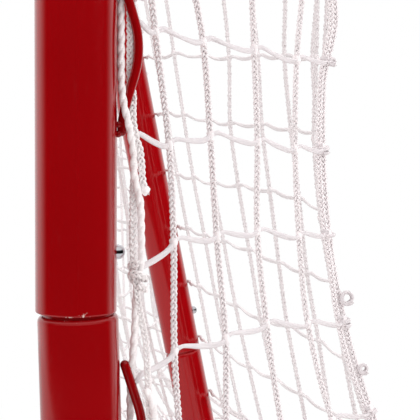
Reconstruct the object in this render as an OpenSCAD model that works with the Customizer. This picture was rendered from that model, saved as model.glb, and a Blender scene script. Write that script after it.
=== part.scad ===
// Knock-down street hockey goal: steel tubes with snap-button joints, zigzag lacing rods and a net.
// X runs along the mouth, Y to the rear and Z up, in millimetres.
// The origin is on the ground, on the goal line, midway between the posts.

/* [Goal] */
// Distance between the axes of the two posts
goal_w = 1220; // [900:10:1840]
// Height from the ground to the top of the crossbar
goal_h = 914; // [800:2:1220]
// Distance from the goal line to the axis of the rear rail
base_depth = 450; // [380:5:620]
// Height of the joint in each post
post_joint_z = 457; // [400:1:540]
// How far each lower post leans to the rear, in degrees
post_lean = 1.7; // [0.5:0.1:3]

/* [Main tube] */
// Outside diameter of the posts, the crossbar and the base
tube_d = 38; // [30:0.5:48]
// Wall of the posts, the crossbar and the base
tube_wall = 1.5; // [1:0.1:2.5]
// Radius of the frame's corners, to the tube's axis
corner_r = 60; // [55:1:90]
// Straight tube between a corner and its joint
corner_leg = 30; // [22:1:60]

/* [Centre bar] */
// Outside diameter of the sloping bar behind the net's middle
bar_d = 32; // [26:0.5:38]
// Wall of the bar
bar_wall = 1.5; // [1:0.1:2]
// Slope of the bar's straight part from the vertical, in degrees
bar_slope = 11.3; // [8:0.1:16]
// Height of the joint in the bar
bar_joint_z = 323; // [290:1:380]
// Radius of the bar's bend, to its axis
bar_bend_r = 120; // [80:5:140]

/* [Swaged joints] */
// Length of the narrowed end that slides into the next tube
spigot_l = 60; // [50:1:80]
// Clearance round a narrowed end
spigot_gap = 0.15; // [0.05:0.05:0.4]
// Width of the groove that shows between two tubes
groove_w = 1.2; // [0.6:0.1:2.5]
// Length of the rounded shoulder below the groove
shoulder_l = 3; // [2:0.2:5]
// Rounding of the rim above the groove
rim_r = 0.9; // [0.3:0.1:1]

/* [Snap buttons] */
// Diameter of a button
button_d = 7; // [5:0.5:9]
// How far a button stands out of its tube
button_out = 4; // [3.5:0.5:6]
// Distance from a main joint's groove to its button
button_up = 28.7; // [26:0.1:36]
// Distance from a bar joint's groove to its button
bar_button_up = 35; // [33:0.1:40]
// Clearance round a button in its holes
button_gap = 0.15; // [0.1:0.05:0.4]
// Width of the spring strip that carries a button
clip_w = 9; // [7.5:0.5:10]
// Thickness of the spring strip
clip_t = 0.8; // [0.5:0.1:1]
// Length of the strip's legs behind the button
clip_leg = 20; // [16:1:21]
// Room between the strip and the tube round it
clip_room = 1; // [0.9:0.1:1.5]
// Room between the moving leg and the strip's bend
clip_slit = 0.4; // [0.2:0.1:0.6]

/* [Lacing rods] */
// Diameter of the bent rod
rod_d = 4.5; // [3:0.5:6]
// Distance from a tube's surface to the outside of the rod's waves
rod_reach = 12.05; // [10:0.5:16]
// Length of one wave
rod_pitch = 77; // [60:1:90]
// Room left at a weld between rod and tube
rod_gap = 0.1; // [0.05:0.05:0.2]
// Distance from the post's joint up to the first weld
rod_above = 85; // [60:1:110]
// Distance from the post's joint down to the first weld
rod_below = 25; // [20:1:40]
// Distance from the middle of the crossbar or rear rail to the rod on each side
rod_middle = 22; // [12:1:40]

/* [Net] */
// Thickness of the net's panels and of the lacing cords
twine_d = 3; // [2:0.5:4]
// Room between the net and the steel
net_gap = 0.5; // [0.3:0.1:2]
// How far the side seam stands in from the post at the net's waist
waist_in = 158; // [120:2:190]
// How far the right seam stands behind the post at the net's waist
waist_back = 148; // [130:2:180]
// How far the left seam, which hangs slack, stands behind its post there
slack_back = 124; // [110:2:148]
// How far the back panel's right half bellies out between its seam and the bar
belly = 34; // [10:1:60]
// How far its left half hangs forward there
hang = 68; // [10:1:68]
// How far the side panel bows out behind the post
side_bow = 46; // [10:1:60]

/* [Hidden] */
sides = [["left", -1], ["right", 1]];

$fn = 64;
slant_room = 1;
red = "#a30612";
chrome = "#c8ccd2";
white = "#f4f2f0";

post_x = goal_w / 2;
top_z = goal_h - tube_d / 2;
base_z = tube_d / 2;

// Bends are the cosine and sine of a whole number ratio, so that a bend's two ends fit exactly.
QUARTER = [0, 1];
BAR_TURN = [0.6, 0.8];
WAVE = [0.96, 0.28];
WAVE_TWICE = [0.8432, 0.5376];

// The lower post leans on the buttons of its two joints, in spigots that leave room for it.
shoulder_z = post_joint_z - groove_w / 2;
pivot_z = shoulder_z + button_up;
foot_z = base_z + corner_r + corner_leg;
foot_y = (pivot_z - foot_z - button_up) * tan(post_lean);
lower_l = (pivot_z - foot_z - button_up) / cos(post_lean) - groove_w;
lean_room = max(button_up, spigot_l - button_up) * sin(post_lean);

// The distance from the middle to the groove of a corner joint, on the crossbar and the rear rail.
joint_x = post_x - corner_r - corner_leg;

// The centre bar is straight, then one bend aims it at the rear rail.
bar_aim = bar_slope + atan2(BAR_TURN[1], BAR_TURN[0]);
bar_joint_y = (top_z - bar_joint_z) * tan(bar_slope);
bar_run = base_depth - bar_joint_y;
bar_fall = bar_joint_z - base_z;
bend_l = bar_bend_r * BAR_TURN[1] / (1 + BAR_TURN[0]);
bar_leg = (bar_fall * sin(bar_aim) - bar_run * cos(bar_aim)) / BAR_TURN[1] - bend_l;
bar_tail = (bar_run * cos(bar_slope) - bar_fall * sin(bar_slope)) / BAR_TURN[1] - bend_l;
bend_y = bar_joint_y + bar_leg * sin(bar_slope) + bar_bend_r * cos(bar_slope);
bend_z = bar_joint_z - bar_leg * cos(bar_slope) + bar_bend_r * sin(bar_slope);
stub_root = tube_d / 2 + 2;

// The lacing rods and cords, as distances from a tube's axis.
rod_low = tube_d / 2 + rod_gap + rod_d / 2;
rod_high = tube_d / 2 + rod_reach - rod_d / 2;
rod_rise = rod_high - rod_low;
rod_half = rod_pitch / 2;
rod_bend_r = (rod_half - rod_rise * WAVE[0] / WAVE[1])
             / (2 * WAVE[1] - 2 * (1 - WAVE[0]) * WAVE[0] / WAVE[1]);
cord_side = rod_d / 2 + twine_d / 2 + net_gap;
cord_out = tube_d / 2 + button_out + 1;

// The net's panels, between their top and bottom edges.
edge_out = tube_d / 2 + rod_reach + net_gap;
net_top = top_z;
net_low = base_z + edge_out;
waist = 0.6;
seam_top_in = corner_r + corner_leg;
seam_low_in = corner_r / 2;
rows = 18;

function spigot_r(d, wall, room = 0) = d / 2 - wall - spigot_gap - room;
function whole_waves(l) = 2 * floor(l / rod_pitch);
function mix(a, b, t) = a + (b - a) * t;

// ---- tubes and joints ----

module ring(d, bore) {
    difference() {
        circle(d = d);
        if (bore > 0) circle(d = bore);
    }
}

// Tube or rod from the origin along +Z. A step is [length], or [radius, turn, side] for a bend
// towards +X or -X. The children stand at the far end.
module run(steps, d, bore = 0, i = 0) {
    if (i == len(steps)) {
        children();
    } else if (len(steps[i]) == 1) {
        linear_extrude(height = steps[i][0]) ring(d, bore);
        translate([0, 0, steps[i][0]]) run(steps, d, bore, i + 1) children();
    } else {
        radius = steps[i][0];
        turn = steps[i][1];
        side = steps[i][2] < 0 ? 180 : 0;
        rotate([0, 0, side]) translate([radius, 0, 0]) {
            rotate([90, 0, 180]) bend(radius, turn, d, bore, 180 - side);
            multmatrix([[turn[0], 0, turn[1], 0], [0, 1, 0, 0], [-turn[1], 0, turn[0], 0]])
                translate([-radius, 0, 0]) rotate([0, 0, -side])
                run(steps, d, bore, i + 1) children();
        }
    }
}

// A bend round the Z axis that starts at the XZ plane.
module bend(radius, turn, d, bore, seam) {
    reach = 1000;
    intersection() {
        rotate_extrude() translate([radius, 0]) rotate(seam) ring(d, bore);
        linear_extrude(height = 2 * d, center = true)
            polygon([[0, 0], [reach, 0], reach * turn]);
    }
}

// The narrowed end of a tube: its shoulder ends at z = 0 and the spigot stands above it.
module swaged_end(d, wall, room = 0) {
    r = spigot_r(d, wall, room);
    shoulder = [for (a = [0:15:90]) [r + (d / 2 - r) * cos(a), shoulder_l * (sin(a) - 1)]];
    rotate_extrude()
        polygon(concat(shoulder, [[r, spigot_l - 1], [r - 0.5, spigot_l], [r - wall, spigot_l],
                                  [r - wall, 0], [d / 2 - wall, -shoulder_l]]));
}

// The open end of a tube: its rounded rim is at z = 0 and the tube stands above it.
module open_end(d, wall, l) {
    rim = [for (a = [90:-15:0]) [d / 2 - rim_r * (1 - cos(a)), rim_r * (1 - sin(a))]];
    rotate_extrude() polygon(concat([[d / 2 - wall, 0]], rim, [[d / 2, l], [d / 2 - wall, l]]));
}

// A straight tube from z = 0 to z = l that is open at both ends.
module socket_tube(l, d, wall) {
    end_l = 12;
    open_end(d, wall, end_l);
    translate([0, 0, end_l]) run([[l - 2 * end_l]], d, d - 2 * wall);
    translate([0, 0, l]) mirror([0, 0, 1]) open_end(d, wall, end_l);
}

// The short tube welded to a rail, which the centre bar slides over: the bar's end is at z = 0.
module stub() {
    r = spigot_r(bar_d, bar_wall);
    rotate_extrude()
        polygon([[r - bar_wall, -stub_root], [r, -stub_root], [r, spigot_l - 1],
                 [r - 0.5, spigot_l], [r - bar_wall, spigot_l]]);
}

// The round hole for a button, through the walls of a joint.
module button_hole(up, d) {
    translate([0, 0, up]) rotate([0, 90, 0]) cylinder(d = button_d + 2 * button_gap, h = d / 2 + 2);
}

// ---- the joints: z = 0 at the groove's spigot side, +Z along the spigot, +X to the button ----

module mirrored(side) {
    if (side < 0) mirror([1, 0, 0]) children();
    else children();
}

module at_post_joint() {
    translate([post_x, 0, pivot_z]) up_slope(post_lean) translate([0, 0, -button_up]) children();
}

module at_corner_joint() {
    translate([joint_x, 0, top_z]) rotate([-90, 0, 0]) rotate([0, -90, 0]) children();
}

module at_foot_joint() {
    translate([post_x, foot_y, foot_z]) rotate([0, 0, 90]) children();
}

module at_rear_joint() {
    translate([joint_x, base_depth, base_z]) rotate([-90, 0, 0]) rotate([0, -90, 0]) children();
}

// +Z down a slope to the rear, +X to the upper rear side.
module down_slope(slope) {
    rotate([0, 0, 90]) rotate([0, 180 - slope, 0]) rotate([0, 0, 180]) children();
}

// +Z up a slope to the front, +X to the upper rear side.
module up_slope(slope) {
    rotate([0, 0, 90]) rotate([0, -slope, 0]) children();
}

module at_bar_top() {
    translate([0, 0, top_z]) down_slope(bar_slope) translate([0, 0, stub_root]) children();
}

module at_bar_joint() {
    translate([0, bar_joint_y, bar_joint_z]) up_slope(bar_slope)
        translate([0, 0, -groove_w / 2]) children();
}

module at_bar_foot() {
    translate([0, base_depth, base_z]) up_slope(bar_aim) translate([0, 0, stub_root]) children();
}

// ---- the frame ----

module post_upper(side) {
    end_l = 12;
    straight = top_z - corner_r - shoulder_z - groove_w;
    color(red) mirrored(side) difference() {
        translate([post_x, 0, shoulder_z + groove_w]) {
            open_end(tube_d, tube_wall, end_l);
            translate([0, 0, end_l])
                run([[straight - end_l], [corner_r, QUARTER, -1], [corner_leg - shoulder_l]],
                    tube_d, tube_d - 2 * tube_wall)
                translate([0, 0, shoulder_l]) swaged_end(tube_d, tube_wall);
        }
        at_post_joint() button_hole(button_up, tube_d);
        at_corner_joint() button_hole(button_up, tube_d);
    }
}

module post_lower(side) {
    end_l = 12;
    color(red) mirrored(side) difference() {
        at_post_joint() {
            swaged_end(tube_d, tube_wall, lean_room);
            translate([0, 0, -lower_l]) {
                open_end(tube_d, tube_wall, end_l);
                translate([0, 0, end_l])
                    run([[lower_l - end_l - shoulder_l]], tube_d, tube_d - 2 * tube_wall);
            }
        }
        at_post_joint() button_hole(button_up, tube_d);
        at_foot_joint() button_hole(button_up, tube_d);
    }
}

// The elbow under a post, the rail along the ground and the corner behind it.
module base_rail(side) {
    along = base_depth - foot_y - 2 * corner_r;
    color(red) mirrored(side) difference() {
        translate([post_x, foot_y, foot_z]) rotate([0, 0, 90]) {
            swaged_end(tube_d, tube_wall, lean_room);
            rotate([180, 0, 0]) translate([0, 0, shoulder_l])
                run([[corner_leg - shoulder_l], [corner_r, QUARTER, 1], [along]],
                    tube_d, tube_d - 2 * tube_wall)
                rotate([0, 0, -90])
                run([[corner_r, QUARTER, 1], [corner_leg - shoulder_l]],
                    tube_d, tube_d - 2 * tube_wall)
                translate([0, 0, shoulder_l]) swaged_end(tube_d, tube_wall);
        }
        at_foot_joint() button_hole(button_up, tube_d);
        at_rear_joint() button_hole(button_up, tube_d);
    }
}

// A rail across the goal between two corner joints, without its button holes.
module cross_rail() {
    half = joint_x - groove_w;
    translate([-half, 0, 0]) rotate([0, 90, 0]) socket_tube(2 * half, tube_d, tube_wall);
}

module crossbar() {
    color(red) difference() {
        union() {
            translate([0, 0, top_z]) cross_rail();
            difference() {
                at_bar_top() stub();
                translate([0, 0, top_z]) rotate([0, 90, 0])
                    cylinder(d = tube_d - tube_wall, h = 2 * bar_d, center = true);
            }
        }
        for (s = sides) mirrored(s[1]) at_corner_joint() button_hole(button_up, tube_d);
        at_bar_top() button_hole(bar_button_up, bar_d);
    }
}

module rear_rail() {
    color(red) difference() {
        union() {
            translate([0, base_depth, base_z]) cross_rail();
            difference() {
                at_bar_foot() stub();
                translate([0, base_depth, base_z]) rotate([0, 90, 0])
                    cylinder(d = tube_d - tube_wall, h = 2 * bar_d, center = true);
            }
        }
        for (s = sides) mirrored(s[1]) at_rear_joint() button_hole(button_up, tube_d);
        at_bar_foot() button_hole(bar_button_up, bar_d);
    }
}

module centre_bar_upper() {
    l = (top_z - bar_joint_z) / cos(bar_slope) - stub_root - groove_w / 2;
    color(red) difference() {
        at_bar_top() socket_tube(l, bar_d, bar_wall);
        at_bar_top() button_hole(bar_button_up, bar_d);
        at_bar_joint() button_hole(bar_button_up, bar_d);
    }
}

module centre_bar_lower() {
    end_l = 12;
    color(red) difference() {
        at_bar_joint() {
            swaged_end(bar_d, bar_wall);
            translate([0, 0, -shoulder_l]) rotate([180, 0, 0])
                run([[bar_leg - shoulder_l - groove_w / 2], [bar_bend_r, BAR_TURN, 1],
                     [bar_tail - stub_root - end_l]], bar_d, bar_d - 2 * bar_wall)
                translate([0, 0, end_l]) mirror([0, 0, 1]) open_end(bar_d, bar_wall, end_l);
        }
        at_bar_joint() button_hole(bar_button_up, bar_d);
        at_bar_foot() button_hole(bar_button_up, bar_d);
    }
}

// ---- the lacing rods: +Z along the tube's axis, the waves towards +X, from a weld at z = 0 ----

leg_l = (rod_rise - 2 * rod_bend_r * (1 - WAVE[0])) / WAVE[1];
first_leg = (rod_rise - rod_bend_r * (1 - WAVE[0])) / WAVE[1];
first_half = first_leg * WAVE[0] + rod_bend_r * WAVE[1];

// An even number of half waves out to rod_high and back. A slanted rod leaves its weld at once.
module wave_rod(halves, slanted = false) {
    waves = [for (i = [1:halves - 1], k = [0, 1])
        k == 0 ? [rod_bend_r, WAVE_TWICE, i % 2 == 0 ? 1 : -1] : [leg_l]];
    tail = [[rod_bend_r, WAVE, 1]];
    $fn = 32;
    translate([rod_low, 0, 0])
        if (slanted) multmatrix([[WAVE[0], 0, WAVE[1], 0], [0, 1, 0, 0], [-WAVE[1], 0, WAVE[0], 0]]) {
            mirror([0, 0, 1]) rod_tip();
            run(concat([[first_leg]], waves, tail), rod_d) rod_tip();
        } else {
            mirror([0, 0, 1]) rod_tip();
            run(concat([[rod_bend_r, WAVE, 1], [leg_l]], waves, tail), rod_d) rod_tip();
        }
}

// The rounded end of a rod, above z = 0.
module rod_tip() {
    arc = [for (a = [0:15:75]) rod_d / 2 * [cos(a), sin(a)]];
    rotate_extrude() polygon(concat([[0, 0]], arc, [[0, rod_d / 2]]));
}

// A straight lacing cord beside a rod, on its side towards +Y.
module lacing_cord(l) {
    translate([cord_out, cord_side, 0]) cylinder(d = twine_d, h = l);
}

upper_halves = whole_waves(top_z - corner_r - post_joint_z - rod_above);
lower_halves = whole_waves(lower_l - rod_below - button_up - 2 * button_d - first_half + rod_half);
cross_halves = whole_waves(joint_x - rod_middle - rod_above);
base_halves = whole_waves(base_depth - foot_y - 2 * corner_r);

module along_upper_post() {
    translate([post_x, 0, 0]) rotate([0, 0, 90]) children();
}

// From the joint downwards.
module along_lower_post() {
    at_post_joint() rotate([0, 180, 0]) rotate([0, 0, 180]) children();
}

module along_crossbar() {
    translate([0, 0, top_z]) rotate([90, 0, 0]) rotate([0, 90, 0]) children();
}

module along_base() {
    translate([post_x, foot_y + corner_r, base_z]) rotate([0, -90, 0]) rotate([-90, 0, 0])
        children();
}

module along_rear() {
    translate([0, base_depth, base_z]) rotate([180, 0, 0]) rotate([0, 90, 0]) children();
}

module lacing_rod_upper(side) {
    color(red) mirrored(side) along_upper_post() translate([0, 0, post_joint_z + rod_above])
        wave_rod(upper_halves);
}

module lacing_rod_lower(side) {
    color(red) mirrored(side) along_lower_post() translate([0, 0, rod_below])
        wave_rod(lower_halves, slanted = true);
}

module lacing_rod_crossbar() {
    color(red) for (s = sides) mirrored(s[1]) along_crossbar() translate([0, 0, rod_middle])
        wave_rod(cross_halves);
}

module lacing_rod_base(side) {
    color(red) mirrored(side) along_base() wave_rod(base_halves);
}

module lacing_rod_rear() {
    color(red) for (s = sides) mirrored(s[1]) along_rear() translate([0, 0, rod_middle])
        wave_rod(cross_halves);
}

// ---- the snap buttons, in a joint's own frame ----

// The outside of the spring strip, as a distance from the axis.
function clip_x(d, wall, room = 0) = spigot_r(d, wall, room) - wall - clip_room;

// A domed button and the leg of the spring strip that it is riveted to.
module button(up, d, wall, room = 0) {
    x = clip_x(d, wall, room);
    dome = button_d / 2;
    color(chrome) translate([0, 0, up]) {
        rotate([0, 90, 0]) {
            translate([0, 0, x]) cylinder(d = button_d, h = d / 2 + button_out - dome - x);
            translate([0, 0, d / 2 + button_out - dome]) sphere(r = dome);
        }
        translate([x - clip_t, -clip_w / 2, -clip_leg]) cube([clip_t, clip_w, clip_leg + clip_w / 2]);
        translate([x - clip_t, 0, clip_w / 2]) rotate([0, 90, 0]) cylinder(d = clip_w, h = clip_t);
    }
}

// The rest of the strip: its bend and the leg that leans on the far side of the tube.
module spring_clip(up, d, wall, room = 0) {
    x = clip_x(d, wall, room);
    color(chrome) translate([0, 0, up - clip_leg - clip_slit]) {
        translate([-x, -clip_w / 2, 0]) cube([clip_t, clip_w, clip_leg + clip_slit + clip_w]);
        rotate([90, 0, 0]) linear_extrude(height = clip_w, center = true) difference() {
            circle(r = x);
            circle(r = x - clip_t);
            translate([-2 * x, 0]) square([4 * x, 2 * x]);
        }
    }
}

module spring_clips() {
    for (s = sides) mirrored(s[1]) {
        at_post_joint() spring_clip(button_up, tube_d, tube_wall, lean_room);
        at_corner_joint() spring_clip(button_up, tube_d, tube_wall);
        at_foot_joint() spring_clip(button_up, tube_d, tube_wall, lean_room);
        at_rear_joint() spring_clip(button_up, tube_d, tube_wall);
    }
    at_bar_top() spring_clip(bar_button_up, bar_d, bar_wall);
    at_bar_joint() spring_clip(bar_button_up, bar_d, bar_wall);
    at_bar_foot() spring_clip(bar_button_up, bar_d, bar_wall);
}

module bar_button() {
    button(bar_button_up, bar_d, bar_wall);
}

module button_post(side) {
    mirrored(side) at_post_joint() button(button_up, tube_d, tube_wall, lean_room);
}

module button_corner(side) {
    mirrored(side) at_corner_joint() button(button_up, tube_d, tube_wall);
}

module button_foot(side) {
    mirrored(side) at_foot_joint() button(button_up, tube_d, tube_wall, lean_room);
}

module button_rear(side) {
    mirrored(side) at_rear_joint() button(button_up, tube_d, tube_wall);
}

// ---- the net: u runs from the post to the seam, or from the seam to the bar; v runs upwards ----

function net_z(v) = mix(net_low, net_top, v);

// How far the lower post stands back from the goal line at a height.
function lean_y(z) = max(0, (pivot_z - z) * tan(post_lean));

// The side seam, as a distance in from the post's axis and a distance behind the goal line.
function seam_in(v) = v < waist
    ? mix(waist_in, seam_low_in, pow((waist - v) / waist, 2))
    : mix(waist_in, seam_top_in, pow((v - waist) / (1 - waist), 2));
function seam_back(v, side) = let (back = side > 0 ? waist_back : slack_back)
    v < waist ? mix(back, base_depth - 8, pow((waist - v) / waist, side > 0 ? 2.3 : 5.6))
              : mix(back, edge_out, pow((v - waist) / (1 - waist), 2));

// The rear of the centre bar and its buttons at a height, and the net behind them, which slants
// across the buttons and so needs more room there.
function bar_rear(z) =
    let (r = bar_d / 2 + button_out + net_gap, inner_r = bar_bend_r - r)
    z > bend_z - inner_r * sin(bar_slope) ? (top_z - z) * tan(bar_slope) + r / cos(bar_slope)
    : z < bend_z - inner_r * sin(bar_aim) ? base_depth - (z - base_z) * tan(bar_aim) + r / cos(bar_aim)
    : bend_y - sqrt(pow(inner_r, 2) - pow(bend_z - z, 2));
function middle_back(v) = max(edge_out, bar_rear(net_z(v)) + twine_d + slant_room);

// How far the frame's corner curves in from the post's axis at a height.
function corner_in(z) = z < top_z - corner_r
    ? 0 : corner_r - sqrt(max(0, pow(corner_r, 2) - pow(z - top_z + corner_r, 2)));

// Nothing bellies out at the net's top and bottom edges.
function loose(v) = 4 * v * (1 - v);
function bow(u, v) = side_bow * loose(v) * sin(180 * u) * (1 - u) * (1 - u);
function belly_out(u, v) = belly * loose(v) * sin(180 * pow(u, 0.7));
function hang_in(u, v) = -hang * sin(180 * pow(v, 0.75)) * sin(180 * pow(u, 1.5));

function side_point(u, v, side) =
    [post_x - mix(corner_in(net_z(v)), seam_in(v), u),
     mix(lean_y(net_z(v)) + edge_out, seam_back(v, side), u) + bow(u, v), net_z(v)];
function back_point(u, v, side) =
    [side * mix(post_x - seam_in(v) - twine_d, 0, u),
     mix(seam_back(v, side), middle_back(v), u) + (side > 0 ? belly_out(u, v) : hang_in(u, v)), net_z(v)];

// A thin closed sheet through a grid of points, thick along one direction.
module sheet(grid, thick) {
    nu = len(grid);
    nv = len(grid[0]);
    points = concat([for (line = grid, p = line) p], [for (line = grid, p = line) p + thick]);
    other = nu * nv;
    faces = concat(
        [for (i = [0:nu - 2], j = [0:nv - 2])
            [i * nv + j, (i + 1) * nv + j, (i + 1) * nv + j + 1, i * nv + j + 1]],
        [for (i = [0:nu - 2], j = [0:nv - 2])
            [other + i * nv + j, other + i * nv + j + 1, other + (i + 1) * nv + j + 1,
             other + (i + 1) * nv + j]],
        [for (i = [0:nu - 2], j = [0, nv - 1])
            j == 0 ? [i * nv, other + i * nv, other + (i + 1) * nv, (i + 1) * nv]
                   : [i * nv + j, (i + 1) * nv + j, other + (i + 1) * nv + j, other + i * nv + j]],
        [for (j = [0:nv - 2], i = [0, nu - 1])
            i == 0 ? [j, j + 1, other + j + 1, other + j]
                   : [i * nv + j, other + i * nv + j, other + i * nv + j + 1, i * nv + j + 1]]);
    polyhedron(points, faces, convexity = 4);
}

module net_side(side) {
    steps = 10;
    color(white) mirrored(side)
        sheet([for (i = [0:steps]) [for (j = [0:rows]) side_point(i / steps, j / rows, side)]],
              [twine_d / 2, twine_d / 2, 0]);
}

module net_back() {
    steps = 14;
    right = [for (i = [0:steps]) [for (j = [0:rows]) back_point(i / steps, j / rows, 1)]];
    left = [for (i = [steps - 1:-1:0]) [for (j = [0:rows]) back_point(i / steps, j / rows, -1)]];
    color(white) sheet(concat(right, left), [0, twine_d, 0]);
}

// ---- the lacing cords ----

module lacing_cord_post(side) {
    upper = upper_halves * rod_half + rod_above;
    lower = first_half + (lower_halves - 1) * rod_half;
    color(white) mirrored(side) {
        along_upper_post() translate([0, 0, post_joint_z]) lacing_cord(upper);
        along_lower_post() translate([0, 0, rod_below]) mirror([0, 1, 0]) lacing_cord(lower);
    }
}

module lacing_cord_top() {
    half = rod_middle + cross_halves * rod_half;
    color(white) along_crossbar() translate([0, 0, -half]) mirror([0, 1, 0]) lacing_cord(2 * half);
}

module lacing_cord_base(side) {
    color(white) mirrored(side) along_base() mirror([0, 1, 0])
        lacing_cord(base_halves * rod_half);
}

module lacing_cord_rear() {
    half = rod_middle + cross_halves * rod_half;
    color(white) along_rear() translate([0, 0, -half]) lacing_cord(2 * half);
}

crossbar();
rear_rail();
centre_bar_upper();
centre_bar_lower();
lacing_rod_crossbar();
lacing_rod_rear();
at_bar_top() bar_button();  // button_bar_top
at_bar_joint() bar_button();  // button_bar_middle
at_bar_foot() bar_button();  // button_bar_foot
spring_clips();
lacing_cord_top();
lacing_cord_rear();
net_back();
for (s = sides) {
    post_upper(s[1]);
    post_lower(s[1]);
    base_rail(s[1]);
    lacing_rod_upper(s[1]);
    lacing_rod_lower(s[1]);
    lacing_rod_base(s[1]);
    button_post(s[1]);
    button_corner(s[1]);
    button_foot(s[1]);
    button_rear(s[1]);
    lacing_cord_post(s[1]);
    lacing_cord_base(s[1]);
    net_side(s[1]);
}
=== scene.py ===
# %% [markdown]
# # A knock-down street hockey goal
# Steel tubes with a glossy red coat carry a white net. The goal comes apart at its joints, which
# snap together with chrome buttons. The tubes, rods and buttons come from the CAD frame with their
# exact shapes, so this lesson gives them their finish and then makes what CAD can't: the braided
# net, the cords that lace it on, and the weld beads.

# %% Load the frame
import random
from itertools import groupby
from math import atan2, cos, degrees, pi, radians, sin, sqrt, tan

import bpy
from mathutils import Euler, Matrix, Vector


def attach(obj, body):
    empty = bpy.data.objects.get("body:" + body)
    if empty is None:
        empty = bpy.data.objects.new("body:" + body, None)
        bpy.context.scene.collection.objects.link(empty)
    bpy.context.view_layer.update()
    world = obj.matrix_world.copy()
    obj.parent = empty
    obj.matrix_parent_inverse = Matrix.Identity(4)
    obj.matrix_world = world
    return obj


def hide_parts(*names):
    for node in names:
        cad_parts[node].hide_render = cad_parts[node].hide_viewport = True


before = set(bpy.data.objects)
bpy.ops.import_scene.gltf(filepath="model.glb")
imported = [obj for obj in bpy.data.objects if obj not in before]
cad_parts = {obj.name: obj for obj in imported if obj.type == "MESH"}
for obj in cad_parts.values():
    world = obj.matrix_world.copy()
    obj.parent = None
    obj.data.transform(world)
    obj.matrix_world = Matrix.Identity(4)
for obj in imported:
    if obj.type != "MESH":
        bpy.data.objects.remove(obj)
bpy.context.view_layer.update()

# %% [markdown]
# ## The camera
# The goal is seen from beside its right post, from about chest height and almost along the goal
# line. A long lens keeps the near post and the far strands close in size. The camera comes first,
# because everything that follows is judged through it.

# %% Camera
CAMERA_PLACE = (1.2656, -0.0185, 0.563)
CAMERA_TURN = radians(7.07)  # away from the goal line, towards the back of the goal
CAMERA_FALL = radians(5.0)  # down from the horizon
CAMERA_ROLL = radians(0.47)  # held a little askew
CAMERA_LENS = 120.8  # millimetres, on a sensor 36 mm wide

camera_data = bpy.data.cameras.new("camera")
camera_data.sensor_width = 36
camera_data.sensor_fit = "HORIZONTAL"
camera_data.lens = CAMERA_LENS
camera = bpy.data.objects.new("camera", camera_data)
bpy.context.scene.collection.objects.link(camera)
camera.location = CAMERA_PLACE
aimed = Euler((pi / 2 - CAMERA_FALL, 0, pi / 2 - CAMERA_TURN)).to_matrix()
camera.rotation_euler = (aimed @ Matrix.Rotation(CAMERA_ROLL, 3, "Z")).to_euler()
bpy.context.scene.camera = camera
print("camera at", CAMERA_PLACE, "turned",
      [round(degrees(a), 2) for a in camera.rotation_euler])

# %% [markdown]
# ## Sums on sockets
# Materials and Geometry Nodes are both graphs of nodes. Writing every Math node out by hand hides
# the idea behind it, so one small class wraps a socket and lets Python's own operators add the
# nodes: `1 - mask * 0.5` becomes two Math nodes.

# %% A socket that takes part in sums
class Socket:
    """A link in a node tree. Sums on it add Math nodes."""

    def __init__(self, graph, link):
        self.graph, self.link = graph, link

    def math(self, operation, *others, swap=False):
        values = (*others, self) if swap else (self, *others)
        return self.graph.make("ShaderNodeMath", {"operation": operation}, dict(enumerate(values)))

    def __add__(self, other): return self.math("ADD", other)
    def __radd__(self, other): return self.math("ADD", other)
    def __sub__(self, other): return self.math("SUBTRACT", other)
    def __rsub__(self, other): return self.math("SUBTRACT", other, swap=True)
    def __mul__(self, other): return self.math("MULTIPLY", other)
    def __rmul__(self, other): return self.math("MULTIPLY", other)
    def __truediv__(self, other): return self.math("DIVIDE", other)
    def __abs__(self): return self.math("ABSOLUTE")
    def sin(self): return self.math("SINE")
    def cos(self): return self.math("COSINE")
    def least(self, other): return self.math("MINIMUM", other)
    def most(self, other): return self.math("MAXIMUM", other)

    def fade(self, start, end):
        """0 below start and 1 above end, smoothly; start may be the larger one."""
        settings = {"interpolation_type": "SMOOTHSTEP"}
        low, high, at_low, at_high = (start, end, 0, 1) if start < end else (end, start, 1, 0)
        return self.graph.make("ShaderNodeMapRange", settings,
                               {0: self, 1: low, 2: high, 3: at_low, 4: at_high})

    def vector(self, operation, other=None, scale=None, output=0):
        inputs = {0: self} if other is None else {0: self, 1: other}
        if scale is not None:
            inputs[3] = scale
        return self.graph.make("ShaderNodeVectorMath", {"operation": operation}, inputs, output)

    def parts(self):
        split = self.graph.make("ShaderNodeSeparateXYZ", {}, {0: self}).link.node
        return [Socket(self.graph, out) for out in split.outputs]


class Graph:
    """A node tree, with one method that makes any node."""

    def __init__(self, tree):
        self.tree = tree

    def make(self, kind, settings, inputs, output=0):
        node = self.tree.nodes.new(kind)
        for name, value in settings.items():
            setattr(node, name, value)
        for name, value in inputs.items():
            if isinstance(value, Socket):
                self.tree.links.new(value.link, node.inputs[name])
            else:
                node.inputs[name].default_value = value
        return Socket(self, node.outputs[output]) if node.outputs else node

    def mix(self, factor, a, b):
        """A colour between a and b."""
        return self.make("ShaderNodeMix", {"data_type": "RGBA"}, {0: factor, 6: a, 7: b}, 2)

    def store(self, geometry, name, value, kind="FLOAT"):
        """Geometry with a value kept on its points under a name."""
        return self.make("GeometryNodeStoreNamedAttribute", {"data_type": kind, "domain": "POINT"},
                         {"Geometry": geometry, "Name": name, "Value": value})

    def noise(self, place, scale, detail=2.0, roughness=0.5):
        return self.make("ShaderNodeTexNoise", {}, {"Vector": place, "Scale": scale,
                         "Detail": detail, "Roughness": roughness})


def colour(red, green, blue):
    """A colour given as it looks on screen, from 0 to 255."""
    values = [c / 255 for c in (red, green, blue)]
    return (*[v / 12.92 if v <= 0.04045 else ((v + 0.055) / 1.055) ** 2.4 for v in values], 1.0)


print("socket sums ready")

# %% [markdown]
# ## Sizes that the finish and the net share
# These repeat the frame's own sizes, in metres: where the tubes run, where their joints are and
# how the lacing rods wave.

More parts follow.
